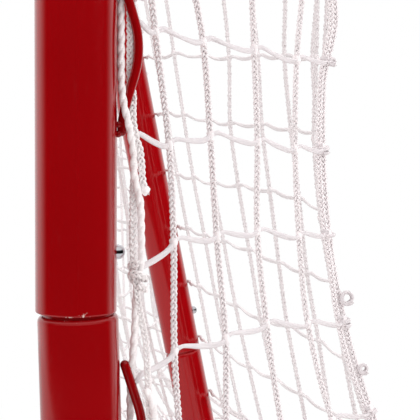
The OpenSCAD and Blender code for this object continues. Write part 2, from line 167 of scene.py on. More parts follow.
# %% The goal's sizes
POST_X = 0.610
TOP_Z = 0.895
BASE_Z = 0.019
REAR_Y = 0.450
CORNER_R = 0.060  # the bends of the 38 mm tubes, on their axis
ROD_WAVE = 0.077
POST_JOINT_Z = 0.457
PIVOT_Z = 0.4851  # where a lower post starts to lean
LEAN = radians(1.7)
FOOT_Z, FOOT_Y = 0.1096, 0.0103  # the groove of the joint at a post's foot
CORNER_JOINT_X = 0.520
BAR_JOINT_Z = 0.323
BAR_SLOPE = radians(11.3)
BAR_BEND = atan2(0.8, 0.6)  # the angle of the bar's lower bend
BAR_AIM = BAR_SLOPE + BAR_BEND
BAR_BEND_R = 0.120
BAR_R = 0.016
print("goal sizes ready")

# %% [markdown]
# ## Red powder coat
# The tubes are powder coated: a thick glossy skin, very slightly rippled like orange peel. At each
# joint of the outer frame the coat is chipped where one tube's rim rubs on the next one, and bare
# primer shows. The ripple is a faint bump, the deep tone varies a little, and the chips are broken
# noise that is only let through near those joints. The centre bar takes a copy of the coat a little
# brighter, which is painted light for the extra light that falls on the bar.

# %% Material: red powder coat
def new_material(name):
    """A material, its graph and each point's place on the object."""
    material = bpy.data.materials.new(name)
    material.use_nodes = True
    material.node_tree.nodes.clear()
    g = Graph(material.node_tree)
    return material, g, g.make("ShaderNodeTexCoord", {}, {}, 3)


def finish_material(graph, shader):
    graph.make("ShaderNodeOutputMaterial", {}, {"Surface": shader})


CHIPS_FROM, CHIPS_TO = 0.0012, 0.0042  # how far from a groove the chips thin out and end


def powder_coat(name, deep, light):
    material, g, place = new_material(name)
    x, y, z = place.parts()
    rubbed = abs(y).fade(0.011, 0.003) * abs(x).fade(0.585, 0.59)  # on the posts' sides
    post_joint = abs(z - POST_JOINT_Z).fade(CHIPS_TO - 0.0004, CHIPS_FROM)
    foot_joint = abs(z - FOOT_Z).fade(CHIPS_TO, CHIPS_FROM)
    corner_joint = abs(abs(x) - CORNER_JOINT_X).fade(CHIPS_TO, CHIPS_FROM)
    near_joint = (post_joint * rubbed).most(foot_joint * rubbed).most(corner_joint)
    crumbs = g.noise(place, 620.0, 4.0, 0.65)
    patches = g.noise(place, 120.0, 2.0)
    chips = (crumbs + patches * 1.1 + near_joint * 0.2).fade(1.40, 1.46) * near_joint.fade(0.1, 0.5)
    tone = g.noise(place, 9.0, 3.0)
    coat = g.mix(tone, deep, light)
    primer = g.mix(crumbs, colour(196, 150, 140), colour(226, 205, 198))
    ripple = g.make("ShaderNodeBump", {}, {"Strength": 0.10, "Distance": 0.00012,
                    "Height": g.noise(place, 340.0, 1.0) + chips * -1.2}, 0)
    scuffs = g.noise(place.vector("MULTIPLY", (60.0, 60.0, 14.0)), 6.0, 5.0, 0.6).fade(0.60, 0.74)
    finish_material(g, g.make("ShaderNodeBsdfPrincipled", {}, {
        "Base Color": g.mix(chips, coat, primer),
        "Roughness": 0.10 + tone * 0.06 + scuffs * 0.10 + chips * 0.5,
        "Coat Weight": 0.30 - chips * 0.30, "Coat Roughness": 0.06, "IOR": 1.6,
        "Specular Tint": (1.0, 0.60, 0.60, 1.0), "Normal": ripple}))
    return material


coat_material = powder_coat("red powder coat", colour(134, 0, 3), colour(149, 0, 6))
# The bar's copy of the coat is brighter only as painted light, for the extra light that falls on
# the bar.
bar_coat_painted_lighter = powder_coat("bar powder coat painted lighter", colour(147, 0, 5), colour(163, 0, 8))
print("made", coat_material.name, "and", bar_coat_painted_lighter.name)

# %% [markdown]
# ## Chrome and spring steel
# The snap buttons are chromed and bright, with hairline scratches from being pressed. The strip
# that carries each one is plain spring steel, rolled lengthwise.

# %% Materials: chrome and spring steel
def metal(name, tone, rough, scratch):
    material, g, place = new_material(name)
    hairs = g.noise(place.vector("MULTIPLY", (3.0, 3.0, 0.3)), 900.0, 3.0, 0.7)
    smudge = g.noise(place, 260.0, 2.0)
    bump = g.make("ShaderNodeBump", {}, {"Strength": scratch, "Distance": 0.00005, "Height": hairs})
    finish_material(g, g.make("ShaderNodeBsdfPrincipled", {}, {
        "Base Color": g.mix(smudge, tone, tuple(0.86 * c for c in tone[:3]) + (1.0,)),
        "Metallic": 1.0, "Roughness": rough + smudge * 0.08 + hairs * 0.04, "Normal": bump}))
    return material


chrome_material = metal("chrome", colour(232, 233, 238), 0.05, 0.12)
spring_material = metal("spring steel", colour(176, 178, 184), 0.24, 0.5)
print("made", chrome_material.name, "and", spring_material.name)

# %% [markdown]
# ## White cord
# The net and its cords are bright white polyester, soft and not shiny. The hollows between the
# plies get painted shade, grey with a trace of pink. Fine fibres run along each ply: the strand
# tree below gives every point its nearness to the core and its distance along the strand, and the
# material reads both.

# %% Material: white cord
def cord_material(name, light, dark, fibre):
    material, g, place = new_material(name)
    hollow = g.make("ShaderNodeAttribute", {"attribute_name": "hollow"}, {}, 2)
    along = g.make("ShaderNodeAttribute", {"attribute_name": "along"}, {}, 2)
    fuzz = g.noise(place, 2600.0, 3.0, 0.7)
    soil = g.noise(place, 45.0, 3.0)
    threads = (along * 5200.0 + fuzz * 5.0).sin()
    height = fuzz * 0.7 + threads * 0.3
    bump = g.make("ShaderNodeBump", {}, {"Strength": fibre, "Distance": 0.00025, "Height": height})
    # Painted shade in the hollows near the core, plus soil and fibre tone that the cord has under
    # any lamp.
    shade = hollow.fade(0.53, 0.76) + soil * 0.16 + fuzz * 0.10 - 0.12
    finish_material(g, g.make("ShaderNodeBsdfPrincipled", {}, {
        "Base Color": g.mix(shade.most(0.0).least(1.0), light, dark),
        "Roughness": 0.78 + fuzz * 0.12, "Sheen Weight": 0.25, "Specular IOR Level": 0.3,
        "Normal": bump}))
    return material


# Each cord's dark colour is the painted shade of its hollows.
net_material = cord_material("net twine", colour(247, 240, 241), colour(168, 158, 163), 0.35)
# The back panel's twine is a darker copy of the same twine: painted shade.
back_twine_painted_darker = cord_material("net twine at the back painted darker", colour(226, 219, 220),
                              colour(200, 192, 194), 0.3)
lacing_material = cord_material("lacing cord", colour(246, 239, 239), colour(208, 197, 199), 0.5)
print("made", ", ".join(m.name for m in (net_material, back_twine_painted_darker, lacing_material)))

# %% [markdown]
# ## Dress the frame
# Every CAD node keeps its shape and takes one of these finishes.

# %% Give each CAD node its finish
def finish_for(node):
    if node.startswith("button"):
        return chrome_material
    if node == "spring_clips":
        return spring_material
    if node.startswith(("net", "lacing_cord")):
        return net_material
    return bar_coat_painted_lighter if node.startswith("centre_bar") else coat_material


for node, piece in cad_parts.items():
    piece.data.materials.clear()
    piece.data.materials.append(finish_for(node))
print(len(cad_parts), "nodes dressed")

# %% [markdown]
# ## The net's shape
# The net hangs between the posts, the crossbar and the base. Each side panel runs from its post in
# to a seam, which stands well inside the goal at its waist and flares out to the rear corner. The
# back panel runs from seam to seam behind the centre bar. It bellies out on the right, and on the
# left, where the net is slack, it hangs forward. A few functions say where any strand is, so that
# columns and rows meet by rule.

# %% Where the panels run
NET_TOP = TOP_Z
NET_LOW = 0.05055
EDGE_Y = 0.03155  # the net's front edge, behind the goal line
WAIST = 0.6
SEAM_WAIST_IN, SEAM_TOP_IN, SEAM_LOW_IN = 0.158, 0.090, 0.030
SEAM_WAIST_Y = {1: 0.148, -1: 0.124}  # by side: 1 is right and -1 left
SEAM_FLARE = {1: 2.3, -1: 5.6}
SEAM_LOW_Y = 0.442
# By side: how far back a seam is bent, the height where the bend starts, and over what it grows.
SEAM_BEND = {1: (0.009, 0.562, 0.045), -1: (-0.012, 0.43, 0.07)}
HELD_Z = 0.80  # above this the crossbar holds the net straight
SLACK = 0.073  # how far the left half hangs forward
BELLY = 0.037  # how far the right half bellies out


def mix(a, b, t):
    return a + (b - a) * t


def smooth(t):
    t = min(1.0, max(0.0, t))
    return t * t * (3 - 2 * t)


def rise(z):
    """A height in the net, from 0 at its lower edge to 1 at the crossbar."""
    return min(1.0, max(0.0, (z - NET_LOW) / (NET_TOP - NET_LOW)))


def post_back(z):
    """How far a lower post leans behind the goal line."""
    return max(0.0, (PIVOT_Z - z) * tan(LEAN))


def seam_in(z):
    """How far a seam stands in from its post."""
    v = rise(z)
    if v < WAIST:
        return mix(SEAM_WAIST_IN, SEAM_LOW_IN, ((WAIST - v) / WAIST) ** 2)
    return mix(SEAM_WAIST_IN, SEAM_TOP_IN, ((v - WAIST) / (1 - WAIST)) ** 2)


def seam_y(z, side=1):
    """How far a seam stands behind the goal line."""
    v = rise(z)
    if v < WAIST:
        y = mix(SEAM_WAIST_Y[side], SEAM_LOW_Y, ((WAIST - v) / WAIST) ** SEAM_FLARE[side])
    else:
        y = mix(SEAM_WAIST_Y[side], EDGE_Y, ((v - WAIST) / (1 - WAIST)) ** 2)
    bend, start, length = SEAM_BEND[side]
    return y + bend * smooth((z - start) / length) * smooth((HELD_Z - z) / 0.1)


def on_seam(z, side, sign=1, ahead=0.0):
    """A point on a seam, or ahead of it, at the right (sign 1) or at the left."""
    return Vector((sign * (POST_X - seam_in(z)), seam_y(z, side) - ahead, z))


def bar_rear(z):
    """The rear of the centre bar at a height."""
    joint_y = (TOP_Z - BAR_JOINT_Z) * tan(BAR_SLOPE)
    run, fall = REAR_Y - joint_y, BAR_JOINT_Z - BASE_Z
    leg = (fall * sin(BAR_AIM) - run * cos(BAR_AIM)) / sin(BAR_BEND) - BAR_BEND_R / 2
    bend_y = joint_y + leg * sin(BAR_SLOPE) + BAR_BEND_R * cos(BAR_SLOPE)
    bend_z = BAR_JOINT_Z - leg * cos(BAR_SLOPE) + BAR_BEND_R * sin(BAR_SLOPE)
    inner = BAR_BEND_R - BAR_R
    if z > bend_z - inner * sin(BAR_SLOPE):
        return (TOP_Z - z) * tan(BAR_SLOPE) + BAR_R / cos(BAR_SLOPE)
    if z < bend_z - inner * sin(BAR_AIM):
        return REAR_Y - (z - BASE_Z) * tan(BAR_AIM) + BAR_R / cos(BAR_AIM)
    return bend_y - sqrt(inner ** 2 - (bend_z - z) ** 2)


def back_y(x, z):
    """The back panel, from the bar out to the seam: slack on the left, bellied on the right."""
    share = min(1.0, abs(x) / (POST_X - seam_in(z)))
    middle = max(EDGE_Y, bar_rear(z) + 0.003) + 0.013 * smooth((0.11 - z) / 0.06)
    if x < 0:
        slack = SLACK * sin(pi * rise(z) ** 0.75)
        return mix(middle, seam_y(z, -1), share) - slack * sin(pi * (1 - share) ** 1.5)
    belly = BELLY * smooth((z - 0.10) / 0.36) * smooth((0.90 - z) / 0.22)
    belly *= 1 - 0.45 * smooth((share - 0.73) / 0.15)
    return mix(middle, seam_y(z), share) + belly * sin(pi * share ** 2)


print("waist of the net", round(POST_X - seam_in(0.55), 3), "from the middle")

# %% [markdown]
# ## Columns and rows of a side panel
# A side panel has an edge strand at the post, four strands that run its whole height and four
# short ones that start at the seam, where the panel widens near the ground. A real net is never
# quite even: the knots that hang loose between the post's two rods are moved by a few millimetres.

# %% Strands of a side panel
ROW_PITCH = 0.051
ROWS = 17
# Where the long columns 1 to 4 lie between post and seam, and how far each bows to the rear.
COLUMN_SHARE = (0.007, 0.18, 0.45, 0.77)
COLUMN_BOW = (0.016, 0.020, 0.015, 0.003)
LONG_COLUMNS = len(COLUMN_SHARE)
SEAM_COLUMN = 9  # column 0 is the edge strand
LOOSEST_Z = 0.49  # where a side panel bows most
FOOT_START, FOOT_STEP = 0.035, 0.0465  # the columns' feet, behind the goal line
# By side: the height below which the columns spread to their feet, and over what.
FOOT_FLARE = {1: (0.39, 0.30), -1: (0.17, 0.12)}
EDGE_CORD_Y = 0.0262  # the braid at the post, behind the post's axis

# Row, column: millimetres to the rear and upwards.
SWAY = {(5, 1): (-8, 0), (5, 2): (-9, 0), (5, 3): (-1, 0), (5, 4): (3, 0),
        (6, 1): (-6.5, 0), (6, 2): (-4, -1.5), (6, 3): (-1, -1.5), (6, 4): (0.5, -3),
        (6, 9): (1, 0),
        (7, 1): (-2, -3), (7, 2): (-2, 2), (7, 3): (1, 0.5), (7, 4): (2, -2), (7, 9): (1.5, -1),
        (8, 1): (-0.5, 0.5), (8, 2): (0, 1.5), (8, 3): (-1, 3), (8, 4): (1.5, 0),
        (8, 9): (-1, 0.5),
        (9, 1): (-1.5, -2), (9, 2): (2, 0), (9, 3): (-0.5, 4.5), (9, 4): (-0.5, 1.5),
        (6, 0): (0, 4), (7, 0): (0, 2), (8, 0): (0, -14), (9, 0): (0, -13)}


def row_height(row, share=0.0):
    """Rows keep their pitch and sag a little towards the seam."""
    return NET_TOP - ROW_PITCH * row - 0.010 * share * (0 < row)


def foot_y(column):
    return FOOT_START + FOOT_STEP * column


def side_column_y(column, z, side):
    """How far behind the goal line a column of the side panel is."""
    lower = foot_y(column)
    if column > LONG_COLUMNS:
        return lower
    upper = mix(EDGE_Y + post_back(z), seam_y(z, side), COLUMN_SHARE[column - 1])
    low_loose, high_loose = smooth((z - NET_LOW) / 0.25), smooth((HELD_Z - z) / 0.31)
    upper += COLUMN_BOW[column - 1] * (low_loose if z < LOOSEST_Z else high_loose)
    start, length = FOOT_FLARE[side]
    return mix(upper, lower, smooth((start - z) / length))


def side_point(y, z, side):
    """A point of a side panel, y behind the goal line. Both sides are made at the right."""
    front = EDGE_Y + post_back(z)
    share = (y - front) / max(0.001, seam_y(z, side) - front)
    over = max(0.0, z - (TOP_Z - CORNER_R))
    curve = CORNER_R - sqrt(max(0.0, CORNER_R ** 2 - over ** 2))
    return Vector((POST_X - mix(curve, seam_in(z), min(1.0, max(0.0, share))), y, z))


def side_knot(column, row, side, rng):
    """Where a column crosses a row, or None above the place where a short column starts."""
    share = (0.0, *COLUMN_SHARE)[column] if column <= LONG_COLUMNS else 1.0
    z = row_height(row, share)
    if column == SEAM_COLUMN:
        point = on_seam(z, side)
    elif column == 0:
        point = Vector((POST_X, EDGE_CORD_Y + post_back(z), z))
    else:
        y = side_column_y(column, z, side)
        if column > LONG_COLUMNS and y > seam_y(z, side) - 0.012:
            return None
        point = side_point(y, z, side)
    dy, dz = SWAY.get((row, column), (rng.uniform(-1.5, 1.5), rng.uniform(-2, 2)))
    loose = smooth((z - NET_LOW) / 0.05) * smooth((NET_TOP - z) / 0.05)
    if column == 0 and (row, column) not in SWAY:
        loose = 0.0
    return point + Vector((0, dy, dz)) * 0.001 * loose


def side_knots(side, seed):
    rng = random.Random(seed)
    return [[side_knot(column, row, side, rng) for row in range(ROWS)]
            for column in range(SEAM_COLUMN + 1)]


knots = {1: side_knots(1, 3), -1: side_knots(-1, 3)}
print("side panel knots",
      [sum(k is not None for line in lines for k in line) for lines in knots.values()])

# %% [markdown]
# ## From knots to strands
# A strand is a smooth curve through its knots. Columns pass straight through a knot, and a row
# leaves each knot a little above the place where the next stretch comes in, then sags before the
# next one. A Catmull-Rom spline passes through every knot and needs no handles.

# %% Curves through points
def through(points, step):
    """Points every step metres, or nearly, on a smooth curve through the given ones."""
    ends = [points[0] * 2 - points[1], *points, points[-1] * 2 - points[-2]]
    line = []
    for a, b, c, d in zip(ends, ends[1:], ends[2:], ends[3:]):
        count = max(1, round((c - b).length / step))
        for i in range(count):
            t = i / count
            line.append(0.5 * ((2 * b) + (c - a) * t + (2 * a - 5 * b + 4 * c - d) * t * t
                               + (3 * b - a - 3 * c + d) * t ** 3))
    return line + [points[-1]]


def sagging(points, sag, drop):
    """A row through its knots: each stretch leaves high, sags and comes in low."""
    line = []
    for a, b in zip(points, points[1:]):
        up, low = Vector((0, 0, drop)), Vector((0, 0, sag * min(1.0, (b - a).length / 0.05)))
        line += [a.copy(), a.lerp(b, 0.14) + up, a.lerp(b, 0.5) - low, b.lerp(a, 0.14) - up * 0.8]
    return line + [points[-1]]


def mirrored(paths):
    return [[Vector((-p.x, p.y, p.z)) for p in path] for path in paths]


def curve_object(name, paths):
    """Paths as one curve object that only the node trees read."""
    data = bpy.data.curves.new(name, "CURVE")
    data.dimensions = "3D"
    for path in paths:
        spline = data.splines.new("POLY")
        spline.points.add(len(path) - 1)
        spline.points.foreach_set("co", [c for p in path for c in (*p, 1.0)])
    return bpy.data.objects.new(name, data)


def point_object(name, points):
    data = bpy.data.meshes.new(name)
    data.from_pydata([tuple(p) for p in points], [], [])
    return bpy.data.objects.new(name, data)


print("curve helpers ready")

# %% [markdown]
# ## A braid in Geometry Nodes
# Each column of the net is a flat braid of three plies. In a braid every ply swings from side to
# side once in each pitch and dips under its neighbours twice, which is a figure of eight seen
# along the strand. So the tree resamples the curve, moves three copies of it along that figure a
# third of a pitch apart, and sweeps a small circle along each. How near a point of the swept plies
# lies to the strand's core is kept for the material, which paints shade into those hollows. The
# rows are two plies in a slow twist; their nearness is never less than their Twist Shade, which
# paints an even shade over them. Knots are lumps set on points and turned at random from a fixed
# seed.

# %% The start and the end of a tree
def start_tree(name, inputs):
    """A new tree's graph, its inputs' identifiers and its inputs as sockets."""
    tree = bpy.data.node_groups.new(name, "GeometryNodeTree")
    keys = {}
    for kind, titles in inputs.items():
        for title, value in titles.items():
            socket = tree.interface.new_socket(title, in_out="INPUT",
                                               socket_type="NodeSocket" + kind)
            if value is not None:
                socket.default_value = value
            keys[title] = socket.identifier
    tree.interface.new_socket("Geometry", in_out="OUTPUT", socket_type="NodeSocketGeometry")
    g = Graph(tree)
    entry = tree.nodes.new("NodeGroupInput")
    return g, keys, {title: Socket(g, entry.outputs[title]) for title in keys}


def end_tree(g, mesh, material):
    """The tree's result: a real mesh, smooth, in its material."""
    mesh = g.make("GeometryNodeRealizeInstances", {}, {"Geometry": mesh})
    mesh = g.make("GeometryNodeSetShadeSmooth", {}, {"Geometry": mesh})
    mesh = g.make("GeometryNodeSetMaterial", {}, {"Geometry": mesh, "Material": material})
    g.tree.links.new(mesh.link, g.tree.nodes.new("NodeGroupOutput").inputs[0])


print("tree helpers ready")

# %% The strand tree
STRAND_INPUTS = {
    "Object": {"Braids": None, "Twists": None, "Knots": None}, "Material": {"Material": None},
    "Vector": {"Facing": (1.0, 0.0, 0.0)}, "Int": {"Braid Sides": 4, "Twist Sides": 5, "Seed": 5},
    "Float": {"Braid Swing": 0.00116, "Braid Dip": 0.00056, "Braid Pitch": 0.0084,
              "Braid Ply": 0.00074, "Braid Step": 0.00085,
              "Twist Swing": 0.00048, "Twist Pitch": 0.085, "Twist Ply": 0.00108,
              "Twist Step": 0.003, "Twist Shade": 0.62, "Knot Size": 0.0022}}


def plies(g, given, source, count, swing, dip, pitch, ply, step, sides, shade):
    """Swept plies along every curve of an object. A dip of None is a plain twist."""
    curves = g.make("GeometryNodeObjectInfo", {}, {"Object": source}, "Geometry")
    curves = g.make("GeometryNodeResampleCurve", {"mode": "LENGTH"},
                    {"Curve": curves, "Length": step})
    along = g.make("GeometryNodeSplineParameter", {}, {}, "Length")
    tangent = g.make("GeometryNodeInputTangent", {}, {})
    side = tangent.vector("CROSS_PRODUCT", given["Facing"]).vector("NORMALIZE")
    deep = side.vector("CROSS_PRODUCT", tangent)
    profile = g.make("GeometryNodeCurvePrimitiveCircle", {}, {"Resolution": sides, "Radius": ply})
    swept = []
    for i in range(count):
        angle = along * (2 * pi) / pitch + 2 * pi * i / count
        across, down = angle.sin(), (angle * 2).sin() if dip else angle.cos()
        offset = side.vector("SCALE", scale=across * swing).vector(
            "ADD", deep.vector("SCALE", scale=down * (dip or swing)))
        core = g.store(curves, "core", g.make("GeometryNodeInputPosition", {}, {}), "FLOAT_VECTOR")
        moved = g.make("GeometryNodeSetPosition", {}, {"Geometry": core, "Offset": offset})
        moved = g.store(moved, "along", along)
        mesh = g.make("GeometryNodeCurveToMesh", {},
                      {"Curve": moved, "Profile Curve": profile, "Fill Caps": True})
        middle = g.make("GeometryNodeInputNamedAttribute", {"data_type": "FLOAT_VECTOR"},
                        {"Name": "core"})
        from_core = g.make("GeometryNodeInputPosition", {}, {}).vector("DISTANCE", middle, output=1)
        # Nearness to the core, read by the material for painted shade; a twist's shade floor paints
        # an even shade all over it.
        mesh = g.store(mesh, "hollow", (1 - from_core / (swing + ply)).most(shade))
        swept.append(g.make("GeometryNodeRemoveAttribute", {}, {"Geometry": mesh, "Name": "core"}))
    return swept


def lumps_on(g, given, places, size, dent, **ranges):
    """Dented balls on an object's points. What ranges name is drawn anew for each ball."""
    points = g.make("GeometryNodeObjectInfo", {}, {"Object": places}, "Geometry")
    ball = g.make("GeometryNodeMeshIcoSphere", {}, {"Radius": size, "Subdivisions": 2})
    place = g.make("GeometryNodeInputPosition", {}, {})
    dents = g.make("ShaderNodeTexNoise", {}, {"Vector": place, "Scale": 420.0, "Detail": 1.0})
    ball = g.make("GeometryNodeSetPosition", {}, {
        "Geometry": ball, "Offset": place.vector("SCALE", scale=(dents - 0.5) * dent)})
    drawn = {name: g.make("FunctionNodeRandomValue", {"data_type": "FLOAT_VECTOR"},
                          {0: low, 1: high, "Seed": given["Seed"]})
             for name, (low, high) in ranges.items()}
    return g.make("GeometryNodeInstanceOnPoints", {}, {"Points": points, "Instance": ball, **drawn})


def strand_tree():
    g, keys, given = start_tree("strands", STRAND_INPUTS)
    braid = [given["Braid " + size] for size in ("Swing", "Dip", "Pitch", "Ply", "Step", "Sides")]
    swing, *twist = [given["Twist " + size]
                     for size in ("Swing", "Pitch", "Ply", "Step", "Sides", "Shade")]
    made = plies(g, given, given["Braids"], 3, *braid, 0.0)
    made += plies(g, given, given["Twists"], 2, swing, None, *twist)
    made.append(lumps_on(g, given, given["Knots"], given["Knot Size"], 0.7,
                         Rotation=((-0.3, -0.3, 0.0), (0.3, 0.3, 6.3)),
                         Scale=((0.75, 0.75, 1.1), (1.0, 1.0, 1.5))))
    join = g.tree.nodes.new("GeometryNodeJoinGeometry")
    for part in made:
        g.tree.links.new(part.link, join.inputs[0])
    end_tree(g, Socket(g, join.outputs[0]), given["Material"])
    return g.tree, keys


strands = strand_tree()
print("strand tree with", len(strands[0].nodes), "nodes")

# %% [markdown]
# ## Making a piece from its strands
# The tree's result is turned into a plain mesh, because instances and modifiers don't leave
# Blender with an export. The modifier goes before the piece is given to the frame.

# %% Run a tree and keep its mesh
def grown(name, tree, keys, sources, **values):
    """What a tree makes, as a piece with a plain mesh. The sources only feed the tree."""
    shell = bpy.data.objects.new(name, bpy.data.meshes.new(name))
    bpy.context.scene.collection.objects.link(shell)
    modifier = shell.modifiers.new(tree.name, "NODES")
    modifier.node_group = tree
    for title, value in {**sources, **values}.items():
        modifier[keys[title]] = value
    graph = bpy.context.evaluated_depsgraph_get()
    mesh = bpy.data.meshes.new_from_object(shell.evaluated_get(graph), depsgraph=graph)
    shell.modifiers.remove(modifier)
    shell.data = mesh
    mesh.name = name
    for source in sources.values():
        bpy.data.objects.remove(source)
    print(name, sum(len(p.vertices) - 2 for p in mesh.polygons), "triangles")
    return shell


def strand_piece(name, braids=(), twists=(), knots=(), material=net_material, **sizes):
    sources = {"Braids": curve_object(name + "_braids", braids),
               "Twists": curve_object(name + "_twists", twists),
               "Knots": point_object(name + "_knots", knots)}
    return grown(name, *strands, sources, Material=material, **sizes)


def twine_area(piece):
    """Half the surface of a net's strands, as a sheet's two sides count once."""
    return round(sum(p.area for p in piece.data.polygons) / 2, 4)


print("piece maker ready")

# %% [markdown]
# ## The side panels
# Both panels come from the same rules, and the left one is turned into a mirror image at the end.
# A short column starts at the seam, a little above its first knot.

# %% Strands of the side panels
def side_strands(side):
    columns = []
    for column, line in enumerate(knots[side][1:SEAM_COLUMN], 1):
        held = [k for k in line if k is not None]
        foot = side_point(foot_y(column), NET_LOW, side)
        if len(held) < ROWS:
            z = held[0].z + 0.045 if held else NET_LOW + 0.035
            held = [on_seam(z, side, ahead=0.002)] + held
        columns.append(through(held + [foot], 0.006))
    rows = []
    for row in range(ROWS):
        line = [column[row] for column in knots[side] if column[row] is not None]
        rows.append(through(sagging(line, 0.0004, 0.0020), 0.004))
    front, back = EDGE_Y + post_back(NET_LOW), seam_y(NET_LOW, side)
    low_row = [side_point(mix(front, back, i / 16), NET_LOW, side) for i in range(17)]
    return columns, rows + [through(low_row, 0.006)]


SIDES = (("right", 1, lambda paths: paths), ("left", -1, mirrored))
for name, side, change in SIDES:
    columns, rows = side_strands(side)
    lumps = [k for line in knots[side][1:SEAM_COLUMN] for k in line if k is not None]
    panel = strand_piece(f"net_panel_{name}", change(columns), change(rows), change([lumps])[0])
    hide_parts(f"net_side_{name}")
    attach(panel, "frame")
    print(name, "panel twine", twine_area(panel), "square metres")

# %% [markdown]
# ## The seams
# The two panels are joined by a pair of braids that part and meet again. Where they meet, at every
# row, a cord is wrapped round both. In three places that cord has come loose and curls.

# %% Seams
WAISTS_Z = 0.460  # one of the places where the two braids meet
WRAP_RISE = 0.0026  # of one turn of the cord
WRAP_X, WRAP_Y = 0.0026, 0.0034  # half the wrap's width and depth
CURLS = ((0.578, 0.0018), (0.4398, 0.0034), (0.3985, 0.0024))  # height and radius


def seam_point(z, side, out):
    """A point beside a seam: out is forward, and a little outwards."""
    return Vector((POST_X - seam_in(z) + out * 0.4, seam_y(z, side) - out, z))


def seam_paths(side):
    first, second = [], []
    for z in [NET_LOW + (NET_TOP - NET_LOW) * i / 160 for i in range(161)]:
        swing = abs(sin(pi * (z - WAISTS_Z) / (2 * ROW_PITCH)))
        loose = 0.0012 * swing * (1 if z > WAISTS_Z else 2.2)
        first.append(seam_point(z, side, -0.0006))
        second.append(seam_point(z, side, 0.0012 + loose))
    wraps = []
    for row in range(1, ROWS):
        middle = row_height(row, 1.0) + SWAY.get((row, SEAM_COLUMN), (0, 0))[1] * 0.001
        turns = 2 if row % 2 else 1
        wraps.append([seam_point(middle + WRAP_RISE * (a / (2 * pi) - turns / 2), side, 0.0)
                      + Vector((WRAP_X * cos(a), WRAP_Y * sin(a), 0))
                      for a in [i * pi / 6 for i in range(12 * turns + 1)]])
    for z, radius in CURLS:
        ring = [pi * i / 6 for i in range(-4, 12)]
        wraps.append([seam_point(z, side, 0.0) + Vector((
            0.0006 * a, 0.0015 + radius * (1 + cos(a)), radius * sin(a))) for a in ring])
    return [first, second], wraps


for name, side, change in SIDES:
    braids, wraps = seam_paths(side)
    lumps = [seam_point(row_height(row, 1.0), side, 0.0004) for row in range(1, ROWS)]
    seam = strand_piece(f"net_seam_{name}", change(braids), change(wraps), change([lumps])[0],
                        **{"Twist Step": 0.0014, "Twist Swing": 0.0004, "Twist Ply": 0.0010,
                           "Knot Size": 0.0030})
    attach(seam, "frame")

# %% [markdown]
# ## The back panel
# The back panel is made in two halves that meet behind the centre bar, so that neither mesh grows
# too large. A column that the seam cuts off is simply shorter. Seen from this far away its strands
# need fewer points and sides than the near ones. Its twine is a darker copy of the net's, which
# paints shade on the back panel.

# %% Strands of the back panel
BACK_SHIFT = 0.031
BACK_PITCH = 0.050
# Column, row: millimetres that a knot stands behind its place.
BACK_SWAY = {(2, 5): 5, (2, 6): 5, (2, 7): 4, (3, 5): 4, (3, 6): 3,
             (5, 6): -4, (6, 5): 2, (6, 6): -3}


def back_row_z(x, z):
    """The height of a row that sags towards the seams."""
    share = min(1.0, abs(x) / (POST_X - seam_in(z)))
    return z - 0.010 * share ** 2 * smooth((NET_TOP - z) / 0.05)


def back_strands():
    rng = random.Random(11)
    heights = [NET_TOP - ROW_PITCH * row for row in range(ROWS)] + [NET_LOW]
    columns, rows = {}, [[] for _ in heights]
    for k in range(-12, 12):
        x = BACK_SHIFT + BACK_PITCH * k
        line = []
        for row, height in enumerate(heights):
            z = back_row_z(x, height)
            inside = abs(x) < POST_X - seam_in(z) - (0.012 if x > 0 else 0.030)
            loose = smooth((z - NET_LOW) / 0.03) * smooth((NET_TOP - z) / 0.03)
            dx, dz = rng.uniform(-2.2, 2.2), rng.uniform(-2.2, 2.2)
            px = x + dx * 0.001 * loose
            sway = BACK_SWAY.get((k, row), 0) * 0.001
            point = Vector((px, back_y(px, z) + sway, z + dz * 0.001 * loose))
            if inside:
                rows[row].append(point)
                if k == -1:  # the rows bear on the centre bar
                    rows[row] += [Vector((bar_x, back_y(0.0, z), z)) for bar_x in (-0.010, 0.012)]
            line.append(point if inside else None)
        columns[k] = line
    for row, height in enumerate(heights):
        z = back_row_z(1.0, height)
        rows[row] = [on_seam(z, -1, -1)] + rows[row] + [on_seam(z, 1)]
    return columns, rows


def runs_of(line, sign):
    """The stretches of a column between its gaps, each led on to the seam."""
    runs = [list(run) for gap, run in groupby(line, lambda point: point is None) if not gap]
    for run in runs:
        if run[0].z < NET_TOP - 0.02:
            run.insert(0, on_seam(run[0].z + 0.03, sign, sign))
        if run[-1].z > NET_LOW + 0.02:
            run.append(on_seam(run[-1].z - 0.03, sign, sign))
    return [through(run, 0.008) for run in runs]


back_columns, back_rows = back_strands()
print(len(back_columns), "columns and", len(back_rows), "rows in the back panel")

# %% Make the two halves
for side, sign in (("right", 1), ("left", -1)):
    braids = [run for k, line in back_columns.items() if (k >= 0) == (sign > 0)
              for run in runs_of(line, sign)]
    twists, lumps = [], []
    for line in back_rows:
        middle = next(i for i, p in enumerate(line) if p.x > 0)
        half = line[middle - 1:] if sign > 0 else line[:middle]
        lumps += [p for p in half[1:-1] if abs(p.x) > 0.015]
        if len(half) > 1:
            twists.append(through(sagging(half, 0.0016, 0.0010), 0.006))
    panel = strand_piece(f"net_back_{side}", braids, twists, lumps, back_twine_painted_darker, **{
        "Facing": (0.8, 0.6, 0.0), "Braid Step": 0.0019, "Braid Ply": 0.00095,
        "Twist Step": 0.006, "Twist Sides": 4, "Twist Shade": 0.0, "Knot Size": 0.0024})
    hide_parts("net_back")
    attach(panel, "frame")
    print(side, "back twine", twine_area(panel), "square metres")

# %% [markdown]
# ## Lacing on the posts
# A braided edge strand and a smooth cord wind through the window behind each wave of the rod. A
# cord passes between rod and post at a peak and lies outside the rod at a weld, so its distance
# from the post swings with the rod's own wave, and it steps aside where it crosses the rod. In the
# open stretch at the post's joint they are gathered in a knot.

